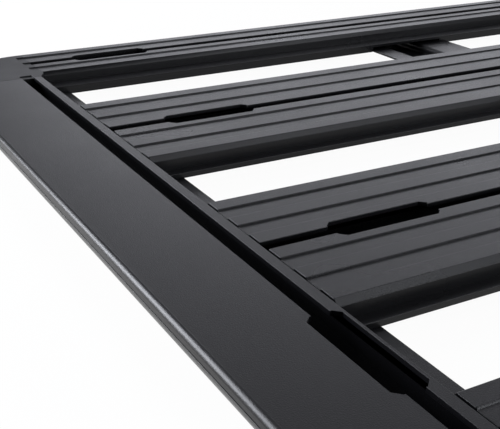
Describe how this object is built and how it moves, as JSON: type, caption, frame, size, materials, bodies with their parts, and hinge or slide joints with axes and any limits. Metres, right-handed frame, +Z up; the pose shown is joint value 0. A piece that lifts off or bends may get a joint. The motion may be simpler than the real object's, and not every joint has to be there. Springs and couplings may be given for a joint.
{
  "type": "flat platform roof rack",
  "caption": "Low flat vehicle roof platform: ribbed slotted planks across smooth side rails, ribbed end rails and rounded moulded corners, on top-hat under bars.",
  "frame": {"origin": "middle of the rack, on the plane under the under bars that it rests on", "axes": "+X across the rack to the right, +Y along it towards the front, +Z up"},
  "size_m": [1.24, 1.5032, 0.0234],
  "materials": {
    "powder_coated_aluminium": "satin black powder coat with a fine texture",
    "moulded_nylon": "smooth matt black moulding"
  },
  "bodies": {
    "root": {"side_rail_left": "powder_coated_aluminium", "side_rail_right": "powder_coated_aluminium", "end_rail_front": "powder_coated_aluminium", "end_rail_rear": "powder_coated_aluminium", "plank_1": "powder_coated_aluminium", "plank_2": "powder_coated_aluminium", "plank_3": "powder_coated_aluminium", "plank_4": "powder_coated_aluminium", "plank_5": "powder_coated_aluminium", "plank_6": "powder_coated_aluminium", "under_bar_left": "powder_coated_aluminium", "under_bar_right": "powder_coated_aluminium", "corner_front_left": "moulded_nylon", "corner_front_right": "moulded_nylon", "corner_rear_left": "moulded_nylon", "corner_rear_right": "moulded_nylon"}
  },
  "joints": []
}
